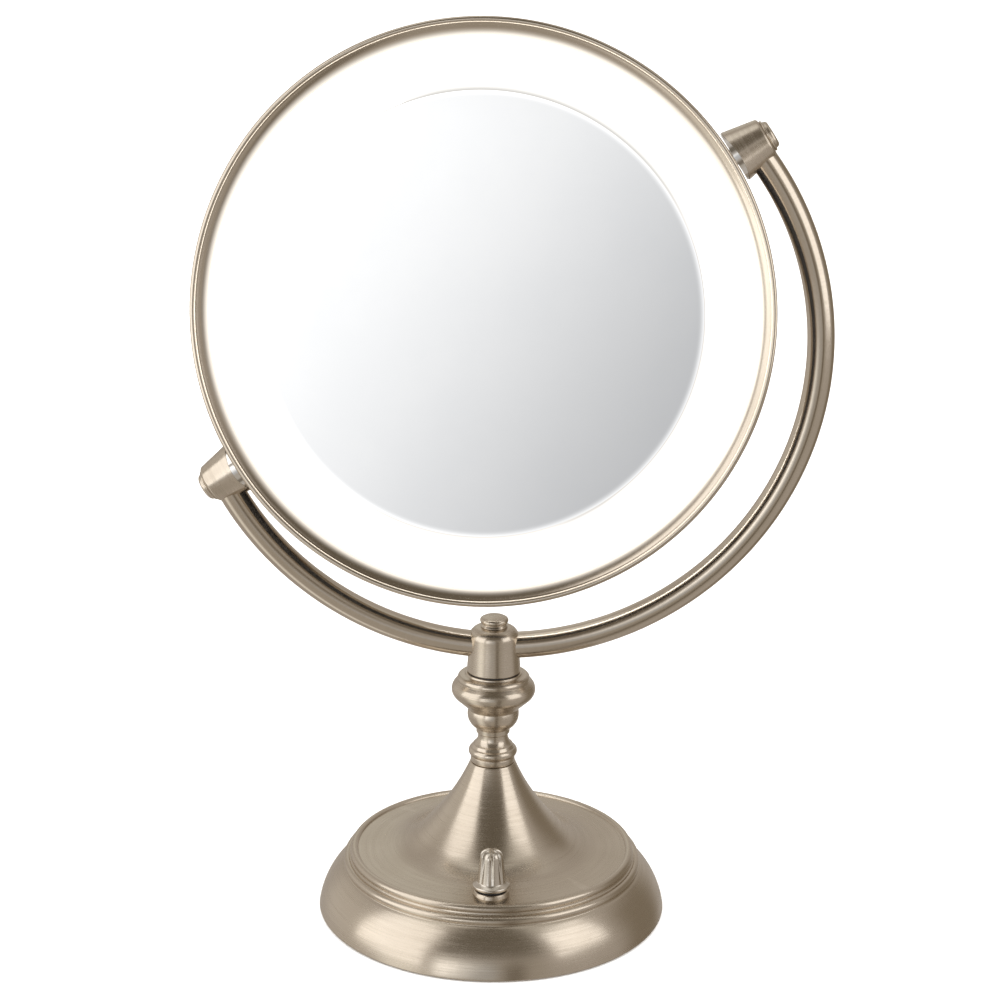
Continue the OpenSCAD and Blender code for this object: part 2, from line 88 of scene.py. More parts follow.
ARM_PLANE = axes_matrix(PIVOT_X, ARM_UP, VIEWER, HEAD_C)
HEAD_FRAME = ARM_PLANE @ Matrix.Rotation(-HEAD_TILT, 4, "X")
BACK_OF_HEAD = HEAD_FRAME @ Matrix.Rotation(math.pi, 4, "X")


def levelled(matrix):
    """The same centre and Z axis with X level, so that a round piece's own box fits it closely."""
    normal = matrix.to_3x3().col[2].normalized()
    level = Vector((0, 0, 1)).cross(normal).normalized()
    return axes_matrix(level, normal.cross(level), normal, matrix.translation / MM)


FRONT_LEVEL, BACK_LEVEL = levelled(HEAD_FRAME), levelled(BACK_OF_HEAD)


def pivot_frame(side):
    """Local Z outward along the pivot axis, on the right (1) or the left (-1)."""
    return ARM_PLANE @ Matrix.Rotation(side * math.pi / 2, 4, "Y")


# ---- Mesh tools ----


def arc(cx, cy, r, a0, a1, n=16):
    """Points of an arc from angle a0 to a1, in degrees."""
    turn = [math.radians(a0 + (a1 - a0) * i / n) for i in range(n + 1)]
    return [(cx + r * math.cos(a), cy + r * math.sin(a)) for a in turn]


def bulged(a, b, rise, n=24):
    """Points of a shallow curve from a to b, proud of the straight line by rise on its left."""
    dx, dy = b[0] - a[0], b[1] - a[1]
    d = math.hypot(dx, dy)
    out = []
    for i in range(n + 1):
        t = i / n
        h = rise * 4 * t * (1 - t)
        out.append((a[0] + dx * t - dy / d * h, a[1] + dy * t + dx / d * h))
    return out


def eased(profile, radius=0.25, steps=4, least=25):
    """The closed profile with each corner sharper than least degrees rounded off."""
    out = []
    count = len(profile)
    for i, p in enumerate(profile):
        a, b = Vector(profile[i - 1]), Vector(profile[(i + 1) % count])
        p = Vector(p)
        u, v = a - p, b - p
        if min(u.length, v.length) < 1e-6:
            continue
        turn = math.pi - u.angle(v)
        if math.degrees(turn) < least or p.x < 1e-6:
            out.append(tuple(p))
            continue
        cut_back = min(radius * math.tan(turn / 2), 0.45 * u.length, 0.45 * v.length)
        start, end = p + u.normalized() * cut_back, p + v.normalized() * cut_back
        for k in range(steps + 1):
            t = k / steps
            out.append(tuple(start * (1 - t) ** 2 + p * 2 * t * (1 - t) + end * t**2))
    return out


def new_object(name, verts, faces, uvs=None, sharp=32):
    mesh = bpy.data.meshes.new(name)
    mesh.from_pydata([tuple(Vector(v) * MM) for v in verts], [], faces)
    if uvs:
        layer = mesh.uv_layers.new(name="UVMap")
        for loop, uv in zip(layer.data, uvs):
            loop.uv = uv
    mesh.validate()
    mesh.shade_smooth()
    mesh.set_sharp_from_angle(angle=math.radians(sharp))
    obj = bpy.data.objects.new(name, mesh)
    bpy.context.scene.collection.objects.link(obj)
    return obj


def lathe(name, profile, matrix=None, segments=SEGMENTS, radius_at=None, sharp=32):
    """A closed profile turned about Z. radius_at(r, z, angle) may change the radius."""
    verts, rings = [], []
    for r, z in profile:
        if r < 1e-6:
            rings.append([len(verts)])
            verts.append((0, 0, z))
            continue
        rings.append(list(range(len(verts), len(verts) + segments)))
        for k in range(segments):
            a = 2 * math.pi * k / segments
            rr = radius_at(r, z, a) if radius_at else r
            verts.append((rr * math.cos(a), rr * math.sin(a), z))
    faces = []
    for i, ring in enumerate(rings):
        after = rings[(i + 1) % len(rings)]
        if len(ring) == 1 and len(after) == 1:
            continue
        for k in range(segments):
            j = (k + 1) % segments
            if len(ring) == 1:
                faces.append((ring[0], after[j], after[k]))
            elif len(after) == 1:
                faces.append((ring[k], ring[j], after[0]))
            else:
                faces.append((ring[k], ring[j], after[j], after[k]))
    obj = new_object(name, verts, faces, sharp=sharp)
    face_outward(obj)
    if matrix is not None:
        obj.matrix_world = matrix
    return obj


def face_outward(obj):
    """Flips the mesh if its enclosed volume comes out negative."""
    mesh = obj.data
    mesh.calc_loop_triangles()
    total = 0.0
    for t in mesh.loop_triangles:
        a, b, c = (mesh.vertices[i].co for i in t.vertices)
        total += a.dot(b.cross(c))
    if total < 0:
        mesh.flip_normals()


def sweep(name, centre, radius, a0, a1, section, steps, around):
    """A closed ring section swept along an arc in the arm's plane. section lists radii, outer to inner."""
    verts, faces, uvs = [], [], []
    index = {}
    for w, tube in enumerate(section):
        for i in range(steps + 1):
            a = math.radians(a0 + (a1 - a0) * i / steps)
            out = Vector((math.cos(a), 0, math.sin(a)))
            for k in range(around):
                b = 2 * math.pi * k / around
                index[w, i, k] = len(verts)
                reach = radius + tube * math.cos(b)
                verts.append(Vector(centre) + out * reach + VIEWER * tube * math.sin(b))

    def quad(keys, corners):
        faces.append([index[key] for key in keys])
        uvs.extend(corners)

    for w in range(len(section)):
        for i in range(steps):
            for k in range(around):
                j = (k + 1) % around
                u0, u1 = i / steps, (i + 1) / steps
                v0, v1 = k / around, (k + 1) / around
                keys = [(w, i, k), (w, i + 1, k), (w, i + 1, j), (w, i, j)]
                corners = [(u0, v0), (u1, v0), (u1, v1), (u0, v1)]
                if w == 1:
                    keys.reverse()
                    corners.reverse()
                quad(keys, corners)
    for i, flip in ((0, False), (steps, True)):
        for k in range(around):
            j = (k + 1) % around
            if len(section) == 1:
                continue
            keys = [(0, i, k), (0, i, j), (1, i, j), (1, i, k)]
            if flip:
                keys.reverse()
            quad(keys, [(0, 0)] * 4)
        if len(section) == 1:
            ring = [(0, i, k) for k in range(around)]
            if flip:
                ring.reverse()
            quad(ring, [(0, 0)] * around)
    obj = new_object(name, verts, faces, uvs)
    face_outward(obj)
    return obj


def cut(obj, cutter, sharp=32):
    """Takes the cutter's volume out of obj, and removes the cutter."""
    bpy.context.view_layer.update()
    mod = obj.modifiers.new("cut", "BOOLEAN")
    mod.operation, mod.solver, mod.object = "DIFFERENCE", "EXACT", cutter
    bpy.context.view_layer.update()
    depsgraph = bpy.context.evaluated_depsgraph_get()
    mesh = bpy.data.meshes.new_from_object(obj.evaluated_get(depsgraph))
    obj.modifiers.clear()
    old = obj.data
    name = old.name
    obj.data = mesh
    bpy.data.meshes.remove(old)
    mesh.name = name
    mesh.shade_smooth()
    mesh.set_sharp_from_angle(angle=math.radians(sharp))
    bpy.data.objects.remove(cutter)
    return obj


def rod(r, z0, z1, matrix=None, segments=96):
    """A plain cylinder, used only to cut with."""
    return lathe("cutter", [(0, z0), (r, z0), (r, z1), (0, z1)], matrix, segments)


# ---- Materials ----


class Nodes:
    """Short ways to add and link shader nodes."""

    def __init__(self, name):
        self.mat = bpy.data.materials.new(name)
        self.mat.use_nodes = True
        self.tree = self.mat.node_tree
        self.bsdf = self.tree.nodes["Principled BSDF"]

    def add(self, kind, **props):
        node = self.tree.nodes.new("ShaderNode" + kind)
        for key, value in props.items():
            setattr(node, key, value)
        return node

    def link(self, source, target):
        self.tree.links.new(source, target)

    def put(self, value, target):
        if isinstance(value, bpy.types.NodeSocket):
            self.link(value, target)
        else:
            target.default_value = value

    def math(self, operation, a, b=0.0):
        node = self.add("Math", operation=operation)
        for value, socket in zip((a, b), node.inputs):
            self.put(value, socket)
        return node.outputs[0]

    def spread(self, value, low, high, to_low, to_high):
        """Value taken smoothly from the range low to high into the range to_low to to_high."""
        node = self.add("MapRange", interpolation_type="SMOOTHSTEP")
        for number, socket in zip((value, low, high, to_low, to_high), node.inputs):
            self.put(number, socket)
        return node.outputs[0]

    def vector(self, x, y, z):
        node = self.add("CombineXYZ")
        for value, socket in zip((x, y, z), node.inputs):
            self.put(value, socket)
        return node.outputs[0]

    def noise(self, vector, scale, detail=2.0, rough=0.5, w=None):
        node = self.add("TexNoise", noise_dimensions="4D" if w is not None else "3D")
        self.link(vector, node.inputs["Vector"])
        if w is not None:
            self.link(w, node.inputs["W"])
        node.inputs["Scale"].default_value = scale
        node.inputs["Detail"].default_value = detail
        node.inputs["Roughness"].default_value = rough
        return node.outputs["Fac"]

    def mix(self, factor, a, b):
        node = self.add("Mix", data_type="RGBA")
        self.put(factor, node.inputs["Factor"])
        self.put(a, node.inputs["A"])
        self.put(b, node.inputs["B"])
        return node.outputs["Result"]

    def place(self):
        """Object coordinates, and x, y, z of them."""
        co = self.add("TexCoord").outputs["Object"]
        split = self.add("SeparateXYZ")
        self.link(co, split.inputs[0])
        return co, split.outputs[0], split.outputs[1], split.outputs[2]

    def bump(self, height, strength, distance):
        node = self.add("Bump")
        node.inputs["Strength"].default_value = strength
        node.inputs["Distance"].default_value = distance
        self.link(height, node.inputs["Height"])
        self.link(node.outputs["Normal"], self.bsdf.inputs["Normal"])

    def set(self, **values):
        for key, value in values.items():
            self.put(value, self.bsdf.inputs[key.replace("_", " ")])


def rgb(r, g, b):
    return (r, g, b, 1.0)


def scaled(colour, r, g, b):
    """A colour with its red, green and blue multiplied, none above 1."""
    return rgb(*(min(1, value * by) for value, by in zip(colour, (r, g, b))))


def turned_metal(name, light, dark, roughness, anisotropy, grain=1.0, wear=0.5, painted_spill=None):
    """Metal brushed round its own Z axis: fine turning lines, a soft mottle and brighter worn edges.

    spill (inner radius, outer radius, strength) is a painted glow: an emission ramp on its inner edge that stands
    in for light from a lit ring falling there.
    """
    n = Nodes(name)
    co, x, y, z = n.place()
    radius = n.math("SQRT", n.math("ADD", n.math("MULTIPLY", x, x), n.math("MULTIPLY", y, y)))
    across, round_about = 60.0, 1.2
    along = n.vector(n.math("MULTIPLY", radius, across), n.math("MULTIPLY", z, across),
                     n.math("MULTIPLY", x, round_about))
    turning = n.math("MULTIPLY", y, round_about)
    lines = n.noise(along, 46.0, 3.0, 0.65, w=turning)
    streaks = n.noise(along, 13.0, 2.0, 0.6, w=turning)
    broad = n.noise(co, 34.0, 2.0, 0.5)
    mottle = n.noise(co, 420.0, 3.0, 0.6)
    base = n.mix(n.spread(broad, 0.32, 0.68, 0.0, 1.0), dark, light)
    base = n.mix(n.spread(lines, 0.3, 0.7, 0.0, 0.22), base, scaled(light, 0.8, 0.78, 0.75))
    base = n.mix(n.spread(streaks, 0.35, 0.65, 0.0, 0.16 * grain), base, scaled(light, 0.72, 0.69, 0.65))
    point = n.add("NewGeometry").outputs["Pointiness"]
    edge = n.math("MULTIPLY", n.spread(point, 0.515, 0.57, 0.0, wear), n.spread(mottle, 0.3, 0.65, 0.4, 1.0))
    base = n.mix(edge, base, scaled(light, 1.12, 1.13, 1.15))
    shine = n.math("ADD", n.spread(lines, 0.25, 0.75, roughness - 0.035, roughness + 0.045),
                   n.spread(mottle, 0.3, 0.7, -0.012, 0.012))
    shine = n.math("ADD", shine, n.spread(streaks, 0.35, 0.65, -0.02 * grain, 0.02 * grain))
    n.set(Base_Color=base, Metallic=1.0, Roughness=shine, Anisotropic=anisotropy)
    # Painted light: emission fading from the inner radius outward, in place of the lit ring's light on the edge.
    if painted_spill:
        inner, outer, strength = painted_spill
        falloff = 1.4
        ramp = n.math("POWER", n.spread(radius, inner * MM, outer * MM, 1.0, 0.0), falloff)
        lit = n.mix(ramp, rgb(0, 0, 0), rgb(strength, strength * 0.94, strength * 0.86))
        n.set(Emission_Color=lit, Emission_Strength=1.0)
    n.bsdf.inputs["Anisotropic Rotation"].default_value = 0.25
    tangent = n.add("Tangent", direction_type="RADIAL", axis="Z")
    n.link(tangent.outputs[0], n.bsdf.inputs["Tangent"])
    n.bump(lines, 0.10 * grain, 0.00006)
    return n.mat


def tube_metal(name, light, dark, roughness, anisotropy):
    """The same metal brushed round a bent tube: v of its map goes round, u along."""
    n = Nodes(name)
    co, _, y, _ = n.place()
    uv = n.add("TexCoord").outputs["UV"]
    split = n.add("SeparateXYZ")
    n.link(uv, split.inputs[0])
    stretched = n.vector(n.math("MULTIPLY", split.outputs[0], 900.0), n.math("MULTIPLY", y, 90.0), 0.0)
    lines = n.noise(stretched, 1.0, 3.0, 0.6)
    broad = n.noise(co, 30.0, 2.0, 0.5)
    mottle = n.noise(co, 420.0, 3.0, 0.6)
    base = n.mix(n.spread(broad, 0.32, 0.68, 0.0, 1.0), dark, light)
    base = n.mix(n.spread(lines, 0.3, 0.7, 0.0, 0.18), base, scaled(light, 0.82, 0.8, 0.77))
    shine = n.math("ADD", n.spread(lines, 0.25, 0.75, roughness - 0.03, roughness + 0.04),
                   n.spread(mottle, 0.3, 0.7, -0.012, 0.012))
    n.set(Base_Color=base, Metallic=1.0, Roughness=shine, Anisotropic=anisotropy)
    tangent = n.add("Tangent", direction_type="UV_MAP", uv_map="UVMap")
    n.link(tangent.outputs[0], n.bsdf.inputs["Tangent"])
    n.bump(lines, 0.06, 0.00005)
    return n.mat


def plain_metal(name, light, dark, roughness, bump=0.1, scale=900.0):
    """Cast, plated or machined metal with a mottle and worn edges."""
    n = Nodes(name)
    co = n.place()[0]
    fine = n.noise(co, scale, 4.0, 0.6)
    broad = n.noise(co, 60.0, 3.0, 0.55)
    base = n.mix(n.spread(broad, 0.3, 0.7, 0.0, 1.0), dark, light)
    point = n.add("NewGeometry").outputs["Pointiness"]
    base = n.mix(n.spread(point, 0.52, 0.6, 0.0, 0.4), base, scaled(light, 1.25, 1.25, 1.25))
    shine = n.spread(fine, 0.25, 0.75, roughness - 0.05, roughness + 0.08)
    n.set(Base_Color=base, Metallic=1.0, Roughness=shine)
    n.bump(fine, bump, 0.0001)
    return n.mat


def moulded(name, light, dark, roughness, bump=0.08, scale=1400.0, gloss=0.5):
    """Moulded plastic, rubber, laminate or wire sheath: fine texture, faint mottle, dull wear."""
    n = Nodes(name)
    co = n.place()[0]
    fine = n.noise(co, scale, 4.0, 0.6)
    broad = n.noise(co, 55.0, 3.0, 0.55)
    base = n.mix(n.spread(broad, 0.3, 0.7, 0.0, 1.0), dark, light)
    point = n.add("NewGeometry").outputs["Pointiness"]
    worn = rgb(*(min(1, c * 1.5 + 0.01) for c in light[:3]))
    base = n.mix(n.spread(point, 0.52, 0.6, 0.0, 0.35), base, worn)
    n.set(Base_Color=base, Roughness=n.spread(fine, 0.25, 0.75, roughness - 0.06, roughness + 0.08))
    n.bsdf.inputs["Specular IOR Level"].default_value = gloss
    n.bump(fine, bump, 0.00015)
    return n.mat


def silvered_glass(name, rim_r, rim_width, glow):
    """Silvered glass with a faint haze, and a painted glow on its edge: an emission ramp in place of light from
    behind.
    """
    n = Nodes(name)
    co, x, y, _ = n.place()
    haze = n.noise(co, 28.0, 4.0, 0.6)
    dust = n.noise(co, 1500.0, 2.0, 0.7)
    tint = n.mix(n.spread(haze, 0.3, 0.7, 0.0, 1.0), rgb(0.915, 0.922, 0.93), rgb(0.935, 0.94, 0.945))
    shine = n.math("ADD", n.spread(haze, 0.45, 0.8, 0.012, 0.03), n.spread(dust, 0.62, 0.8, 0.0, 0.02))
    # Painted glow: emission rising over the outer rim_width of the glass, standing in for light at its edge.
    radius = n.math("SQRT", n.math("ADD", n.math("MULTIPLY", x, x), n.math("MULTIPLY", y, y)))
    ramp = n.spread(radius, (rim_r - rim_width) * MM, rim_r * MM, 0.0, 1.0)
    light = n.mix(n.math("POWER", ramp, 1.25), rgb(0, 0, 0), rgb(glow, glow, glow * 0.99))
    n.set(Base_Color=tint, Metallic=1.0, Roughness=shine, Emission_Color=light, Emission_Strength=1.0)
    return n.mat


def lit_acrylic(name, glow, led_count):
    """Frosted acrylic over a ring of LEDs: even, with a faint rise over each LED."""
    n = Nodes(name)
    co, x, y, _ = n.place()
    grain = n.noise(co, 2200.0, 3.0, 0.6)
    angle = n.math("MULTIPLY", n.math("ARCTAN2", y, x), float(led_count))
    over_led = n.spread(n.math("COSINE", angle), -1.0, 1.0, 0.0, 1.0)
    light = n.mix(over_led, rgb(glow * 0.97, glow * 0.975, glow * 0.97), rgb(glow, glow, glow * 0.995))
    n.set(Base_Color=n.mix(n.spread(grain, 0.3, 0.7, 0.0, 1.0), rgb(0.86, 0.86, 0.85), rgb(0.92, 0.92, 0.91)),
          Roughness=n.spread(grain, 0.3, 0.7, 0.32, 0.45), Emission_Color=light, Emission_Strength=1.0)
    n.bump(grain, 0.05, 0.00005)
    return n.mat


NICKEL_LIGHT = rgb(0.68, 0.61, 0.52)
NICKEL_DARK = rgb(0.63, 0.56, 0.47)

materials = {
    "brushed_nickel": turned_metal("brushed_nickel", NICKEL_LIGHT, NICKEL_DARK, 0.25, 0.6),
    "nickel_tube": tube_metal("nickel_tube", NICKEL_LIGHT, NICKEL_DARK, 0.19, 0.3),
    # The bezels get a painted glow along their inner edge, standing in for the lit ring's light.
    "bezel_nickel_painted_glow": turned_metal("bezel_nickel_painted_glow", NICKEL_LIGHT, NICKEL_DARK, 0.2, 0.2, grain=0.5,
                                 painted_spill=(EDGE_R, EDGE_R + 3.4, 0.72)),
    "knob_nickel": turned_metal("knob_nickel", rgb(0.74, 0.69, 0.62), rgb(0.68, 0.63, 0.56), 0.24, 0.1,
                                grain=0.3),
    "polished_chrome": turned_metal("polished_chrome", rgb(0.87, 0.85, 0.82), rgb(0.82, 0.80, 0.77), 0.09,
                                    0.0, grain=0.3, wear=0.2),
    # The mirror glass gets a painted glow over its outer 5 mm, standing in for light at its edge.
    "silvered_glass": silvered_glass("silvered_glass", MIRROR_R, 5.0, 1.15),
    "frosted_acrylic": lit_acrylic("frosted_acrylic", 2.2, 36),
    "lit_led": lit_acrylic("lit_led", 3.0, 36),
    "white_plastic": moulded("white_plastic", rgb(0.82, 0.82, 0.80), rgb(0.76, 0.76, 0.74), 0.45),
    "black_plastic": moulded("black_plastic", rgb(0.028, 0.028, 0.03), rgb(0.018, 0.018, 0.02), 0.4),
    "circuit_board": moulded("circuit_board", rgb(0.05, 0.26, 0.12), rgb(0.035, 0.2, 0.09), 0.32, gloss=0.6),
    "plated_steel": plain_metal("plated_steel", rgb(0.62, 0.63, 0.64), rgb(0.52, 0.53, 0.55), 0.34),
    "pipe_brass": plain_metal("pipe_brass", rgb(0.80, 0.62, 0.30), rgb(0.72, 0.54, 0.25), 0.28),
    "weight_iron": plain_metal("weight_iron", rgb(0.10, 0.10, 0.105), rgb(0.06, 0.06, 0.065), 0.62,
                               bump=0.6, scale=500.0),
    "foot_rubber": moulded("foot_rubber", rgb(0.04, 0.04, 0.042), rgb(0.025, 0.025, 0.027), 0.8,
                           bump=0.35, scale=900.0, gloss=0.2),
    "lead_sheath": moulded("lead_sheath", rgb(0.05, 0.05, 0.052), rgb(0.035, 0.035, 0.036), 0.5),
}


def dress(obj, body, slot, stands_for=(), material=None):
    """Puts a new piece on its body with its finish, in place of CAD nodes."""
    obj.data.materials.clear()
    obj.data.materials.append(materials[material or slot])
    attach(obj, body)
    if stands_for:
        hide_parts(*stands_for)
    return obj


# ---- Base, dimmer knob and post ----


def base_outline():
    """Outer and inner outline of the spun shell, from its top bore down the skirt and back inside."""
    top_angle, mid_angle, plate_slope = 67.4, 44.0, 6.0
    r1, top_r, plate_z, wall = 85.0, 8.8, 25.0, 1.3
    sin, cos = (lambda d: math.sin(math.radians(d))), (lambda d: math.cos(math.radians(d)))
    c1 = (top_r + r1 * sin(top_angle), FLARE_TOP + r1 * cos(top_angle))
    joint = (c1[0] - r1 * sin(mid_angle), c1[1] - r1 * cos(mid_angle))
    r2 = (joint[1] - plate_z) / (cos(plate_slope) - cos(mid_angle))
    c2 = (joint[0] + r2 * sin(mid_angle), joint[1] + r2 * cos(mid_angle))
    plate_r = c2[0] - r2 * sin(plate_slope)
    drop = math.tan(math.radians(plate_slope))

    def flare(t, first):
        return arc(*c1, r1 + t, 270 - first, 270 - mid_angle, 40) + arc(
            *c2, r2 + t, 270 - mid_angle + 1, 270 - plate_slope, 32)

    rim = BASE_R - 15.3
    outside = [(4.2, FLARE_TOP)] + flare(0, top_angle) + [(rim, plate_z - drop * (rim - plate_r))]
    outside += arc(BASE_R - 13.9, 23.2, 1.7, 140, -40, 18) + [(BASE_R - 12.45, 21.4)]
    outside += arc(BASE_R - 11.3, 19.5, 1.7, 110, -35, 18) + [(BASE_R - 9.9, 17.9)]
    outside += bulged((BASE_R - 9.2, 17.5), (BASE_R, 0.9), 1.7, 32)
    outside += [(BASE_R - 0.3, 0.45), (BASE_R - 0.7, 0.4), (BASE_R - 1.6, 0.4)]
    inside_top = FLARE_TOP - 2.6
    inside_angle = math.degrees(math.acos((c1[1] - inside_top) / (r1 + wall)))
    inside = [(4.2, inside_top)] + flare(wall, inside_angle)
    inside += [(rim - 0.5, plate_z - drop * (rim - 0.5 - plate_r) - wall), (BASE_R - 13.2, 18.4)]
    inside += bulged((BASE_R - 11.1, 16.6), (BASE_R - 1.6, 1.2), 1.7, 16)
    return outside + inside[::-1]


COLLAR_HOLE_R, INLET_HOLE_R = 5.4, 5.1
knob_axis = Matrix.Translation((0, KNOB_C.y * MM, 0))
base = lathe("base_shell_spun", eased(base_outline(), 0.35), segments=256, sharp=40)
cut(base, rod(COLLAR_HOLE_R, 15, 35, knob_axis), 40)
inlet_axis = Matrix.Translation((0, 0.050, 0.0093)) @ Matrix.Rotation(-math.pi / 2, 4, "X")
cut(base, rod(INLET_HOLE_R, 0, 30, inlet_axis), 40)
dress(base, "stand", "brushed_nickel", ["base_shell"])


def post_outline():
    """The turned post: lower ring, neck, bowl, collar and neck under the bell."""
    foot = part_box("turned_post")[0].z / MM
    bulge_r = 12.0
    out = [(4.1, foot), (8.4, foot), (8.6, foot + 0.5), (8.5, 62.6)]
    out += arc(7.45, 64.6, 2, -65, 65, 20) + arc(10.3, 71.2, 4.5, 235, 180, 16)
    out += [(5.8, 72), (6.5, 72.4), (6.5, 73)] + arc(3.6, 80, 6.4, -62, 20, 24)
    out += [(9.9, 82.6)] + arc(bulge_r, 90.2, 4.2, -50, 40, 24) + arc(12.3, 94.6, 1.7, -20, 95, 16)
    return out + [(11, 96.6), (10.9, POST_TOP), (4.1, POST_TOP)]


post = lathe("turned_post_fine", eased(post_outline(), 0.3), sharp=40)
dress(post, "stand", "brushed_nickel", ["turned_post"])

bell_z = POST_TOP + 0.4
shoulder_z, shoulder_round = 111.4, 4.1
bell_outline = [(4.05, bell_z), (10.2, bell_z), (10.4, bell_z + 0.3), (9.75, shoulder_z - 5)]
bell_outline += arc(5.5, shoulder_z, shoulder_round, 0, 90, 24) + [(2.05, shoulder_z + shoulder_round)]
bell_outline += [(2.05, 107), (2.6, 106.6), (2.6, 101.5), (4.05, 101.5)]
bell = lathe("clamp_bell_fine", eased(bell_outline, 0.3), sharp=40)
cut(bell, sweep("cutter", ARM_C, ARM_R, -100, -80, [TUBE_R + 0.05], 24, 64), 40)
dress(bell, "stand", "brushed_nickel", ["clamp_bell"])

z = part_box("clamp_bell")[1].z / MM + 0.03
finial_outline = [(0, 113.3), (2, 113.3), (2, z), (5.1, z), (5.2, z + 0.4), (4.5, z + 1.3), (5.2, z + 1.6)]
finial_outline += arc(4.4, z + 2.6, 1.1, -40, 62, 12) + [(4.2, z + 3.95), (2.4, z + 4.08), (0, z + 4.12)]
finial = lathe("clamp_finial_fine", eased(finial_outline, 0.25), sharp=40)
dress(finial, "stand", "brushed_nickel", ["clamp_finial"])


KNOB_HEIGHT = 42.3 - KNOB_C.z


def knob_outline():
    """The knob's flange, its tapered body and its rounded shoulder."""
    top = KNOB_HEIGHT
    out = [(0, 0), (6.9, 0)] + arc(6.5, 0.8, 0.7, -20, 60, 10)
    out += [(5.9, 1.9), (5.4, 2.4), (4.4, top - 3.6)] + arc(1.4, top - 3.4, 3, 10, 75, 14) + [(0, top)]
    return out


def fluted(r, z, a):
    """Eight flutes that fade in up the knob's body and cut most deeply at its shoulder."""
    first_z, fade, deepest, core_r, sharpness = 8.5, 3.0, 1.0, 2.2, 1.3
    up = min(1, max(0, (z - first_z) / fade))
    depth = deepest * up * up * (3 - 2 * up) * min(1, r / core_r)
    wave = max(0.0, math.cos(8 * a))
    return r - depth * wave**sharpness if z < KNOB_HEIGHT - 0.2 else r


knob_place = Matrix.Translation(KNOB_C * MM)
knob = lathe("dimmer_knob_fine", eased(knob_outline(), 0.25), knob_place, 256, fluted, 50)
dress(knob, "knob", "brushed_nickel", ["dimmer_knob"], "knob_nickel")

# A low boss in the shell that the knob's black collar stands in.
boss_outline = [(5.45, 22.6), (7.6, 22.6), (7.2, 23.6), (6.9, 24.7), (6.6, 25.6), (6.3, 25.9), (5.45, 25.9)]
boss = lathe("knob_boss", eased(boss_outline, 0.25), knob_axis, sharp=40)
dress(boss, "stand", "brushed_nickel")

# ---- Arm and pivots ----

skew = math.degrees(math.atan2(PIVOT_OFFSET, TUBE_S) - math.asin(6 / ARM_R))
arm_a0, arm_a1 = math.degrees(PIVOT_ANGLE) - 180 - skew, math.degrees(PIVOT_ANGLE) + skew
arm = sweep("support_arm_fine", ARM_C, ARM_R, arm_a0, arm_a1, [TUBE_R, TUBE_R - 1.2], 220, 48)
dress(arm, "stand", "brushed_nickel", ["support_arm"], "nickel_tube")

for side, word in ((-1, "left"), (1, "right")):
    near, far = HEAD_R + 0.6, HEAD_R + 14.1
    outline = [(3.25, near), (10, near)] + arc(6.3, far - 1.3, 1.3, 5, 90, 16)
    outline += [(5.5, far), (5.5, HEAD_R + 3.6), (3.25, HEAD_R + 3.6)]
    knuckle = lathe("knuckle_%s_fine" % word, eased(outline, 0.25), pivot_frame(side), sharp=40)
    saddle = ARM_PLANE @ Matrix.Translation((side * (HEAD_R + 2.3 - 30) * MM, 0, -0.02))
    cut(knuckle, rod(30, 0, 40, saddle, 256), 40)
    start, stop = (-20, arm_a1) if side > 0 else (arm_a0, -140)
    cut(knuckle, sweep("cutter", ARM_C, ARM_R, start, stop, [TUBE_R + 0.05], 64, 64), 40)
    dress(knuckle, "stand", "brushed_nickel", ["knuckle_" + word])
    s = far + 0.02
    outline = [(0, s - 2.4), (5.45, s - 2.4), (5.45, s), (6, s)] + arc(5.75, s + 0.45, 0.45, -30, 120, 12)
    outline += [(5.4, s + 0.95)] + arc(3.9, s + 1.2, 1.4, 0, 75, 14) + [(1.8, s + 2.64), (0, s + 2.68)]
    cap = lathe("knuckle_cap_%s_fine" % word, eased(outline, 0.2), pivot_frame(side), 128, sharp=40)
    dress(cap, "stand", "brushed_nickel", ["knuckle_cap_" + word])

# ---- Head ----


def bezel_outline():
    """A rolled lip round a cove that falls to the bezel's inner edge."""
    lip_z = 10.6
    out = [(BAND_R + 0.1, 6), (HEAD_R - 0.6, 6), (HEAD_R - 0.6, lip_z - 0.9)]
    out += arc(HEAD_R - 1.1, lip_z, 1.1, -35, 160, 28)
    out += arc(EDGE_R - 0.25, 17.45, 8, -56, -87, 28)
    return out + [(EDGE_R, 9.35), (EDGE_R, 9.1), (EDGE_R + 0.3, 8.95), (BAND_R + 0.1, 8.95)]


for matrix, word in ((FRONT_LEVEL, "front"), (BACK_LEVEL, "rear")):
    bezel = lathe(word + "_bezel_fine", eased(bezel_outline(), 0.15), matrix, 320, sharp=40)
    # The bezel's finish carries a painted glow on its inner edge.
    dress(bezel, "head", "brushed_nickel", [word + "_bezel"], "bezel_nickel_painted_glow")
    ring = [(MIRROR_R + 0.05, 6), (104.8, 6), (104.8, 8.8), (MIRROR_R + 0.05, 8.8)]
    diffuser = lathe(word + "_diffuser_fine", eased(ring, 0.5, 6), matrix, 256)
    dress(diffuser, "head", "frosted_acrylic", [word + "_diffuser"])

band = [(BAND_R - 1.1, -8.9), (BAND_R, -8.9), (BAND_R, 8.9), (BAND_R - 1.1, 8.9)]
band = lathe("head_band_fine", eased(band, 0.2), FRONT_LEVEL, 320)
for side in (-1, 1):
    cut(band, rod(3.25, 90, 115, HEAD_FRAME @ Matrix.Rotation(side * math.pi / 2, 4, "Y"), 64))
dress(band, "head", "black_plastic", ["head_band"])

glass_z = MIRROR_FACE - 3
glass = [(0, glass_z), (MIRROR_R, glass_z), (MIRROR_R, MIRROR_FACE - 1)]
glass += [(MIRROR_R - 2.4, MIRROR_FACE), (0, MIRROR_FACE)]
glass = lathe("front_mirror_fine", eased(glass, 1.2, 8, 15), FRONT_LEVEL, 256, sharp=20)
dress(glass, "head", "silvered_glass", ["front_mirror"])


